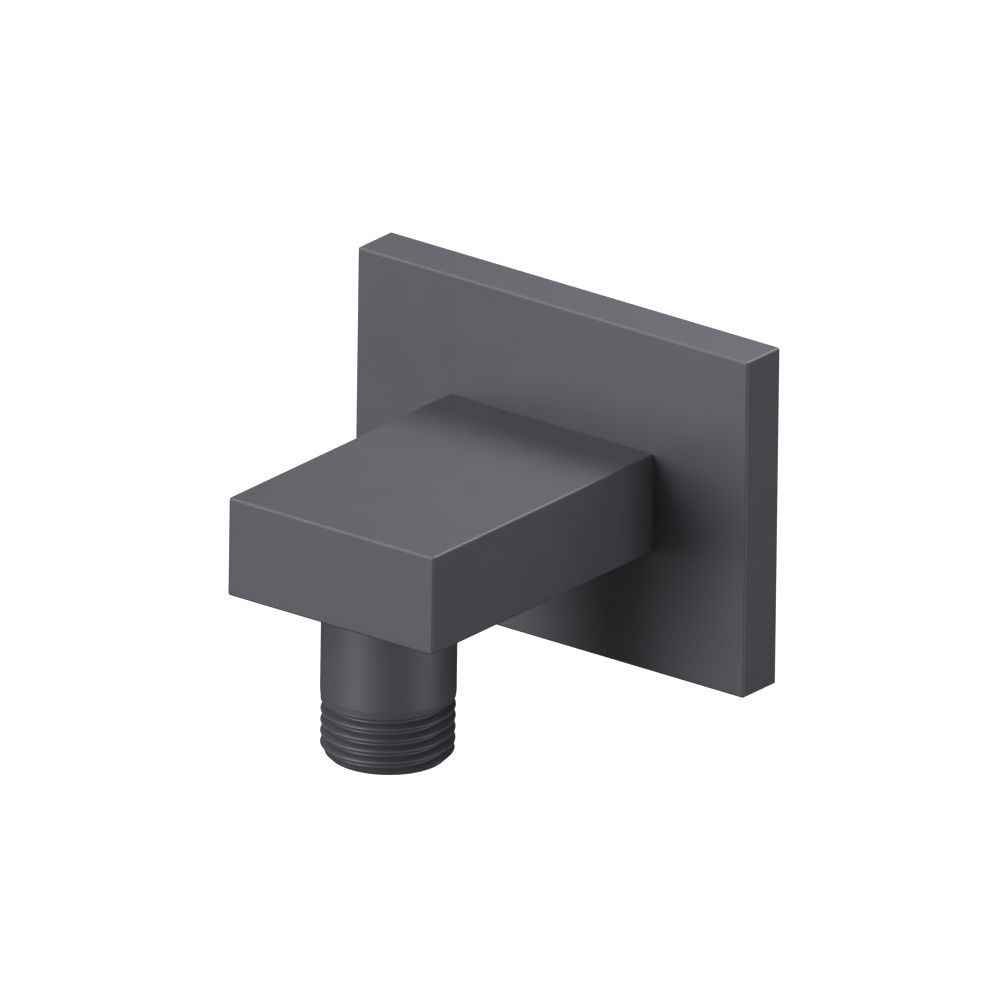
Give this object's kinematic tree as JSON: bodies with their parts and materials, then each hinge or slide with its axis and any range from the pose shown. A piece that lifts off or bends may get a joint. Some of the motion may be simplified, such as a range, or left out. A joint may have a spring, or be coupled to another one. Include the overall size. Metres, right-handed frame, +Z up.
{
  "type": "wall outlet elbow",
  "caption": "Square wall outlet elbow for a hand shower: flat wall plate, square arm and a threaded outlet pointing down, with a non-return valve inside.",
  "frame": {"origin": "on the wall's surface, at the centre of the inlet thread and of the arm", "axes": "+X right, +Y into the wall along the inlet, +Z up; the outlet points along -Z"},
  "size_m": [0.075, 0.077, 0.0612],
  "materials": {
    "anthracite_coat": "matt, finely textured",
    "bare_brass": "turned, unpolished",
    "screw_steel": "plain",
    "spring_steel": "drawn, bright",
    "black_rubber": "satin",
    "grey_foam": "closed-cell foam, matt",
    "white_acetal": "satin",
    "blue_acetal": "satin"
  },
  "bodies": {
    "elbow": {"wall_plate": "anthracite_coat", "elbow_body": "anthracite_coat", "wall_nipple": "bare_brass", "wall_seal": "grey_foam", "plate_screw_left": "screw_steel", "plate_screw_right": "screw_steel", "grub_screw": "screw_steel", "nipple_o_ring_front": "black_rubber", "nipple_o_ring_rear": "black_rubber", "valve_housing": "white_acetal", "housing_o_ring": "black_rubber", "valve_guide": "white_acetal", "valve_spring": "spring_steel"},
    "poppet": {"valve_poppet": "blue_acetal", "poppet_seal": "black_rubber"}
  },
  "joints": [
    {"name": "poppet_slide", "type": "slide", "parent": "elbow", "child": "poppet", "axis": [0, 0, -1], "range_m": [0, 0.0025], "stiffness_N_per_m": 50, "springref_m": -0.0022, "deforming": ["valve_spring"]}
  ]
}
